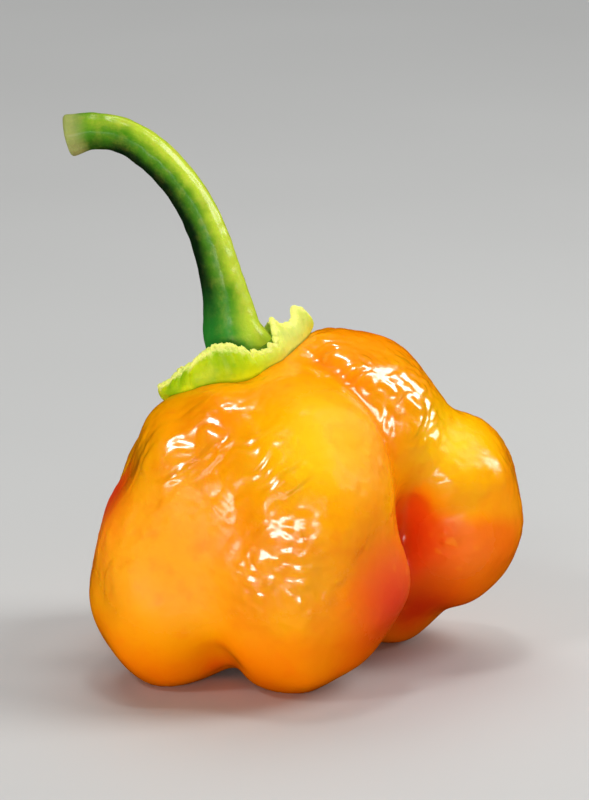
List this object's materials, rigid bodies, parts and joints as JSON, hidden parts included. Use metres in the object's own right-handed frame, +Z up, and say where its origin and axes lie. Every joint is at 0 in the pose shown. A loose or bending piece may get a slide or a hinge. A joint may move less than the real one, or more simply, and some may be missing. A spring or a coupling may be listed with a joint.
{
  "type": "scotch bonnet pepper",
  "caption": "Ripe orange chilli fruit with rounded lobes and deep furrows, a ruffled green calyx and a hooked stalk, standing on its lobes.",
  "frame": {"origin": "on the ground plane under the middle of the whole, stalk included", "axes": "+Z up through the standing pepper, +X from the hooked stalk's free end towards the right-hand lobe, -Y towards the two big front lobes"},
  "size_m": [0.0487, 0.0396, 0.0587],
  "materials": {
    "fruit_skin": "ripe waxy pepper skin, orange with yellow crowns and red furrows, glossy over fine leathery wrinkles",
    "calyx_green": "fresh yellow-green calyx with a pale, thin, ruffled rim",
    "stalk_green": "smooth green stalk, darker on one side, with a pale rough break scar"
  },
  "bodies": {
    "root": {"fruit": "fruit_skin", "calyx": "calyx_green", "stalk": "stalk_green"}
  },
  "joints": []
}
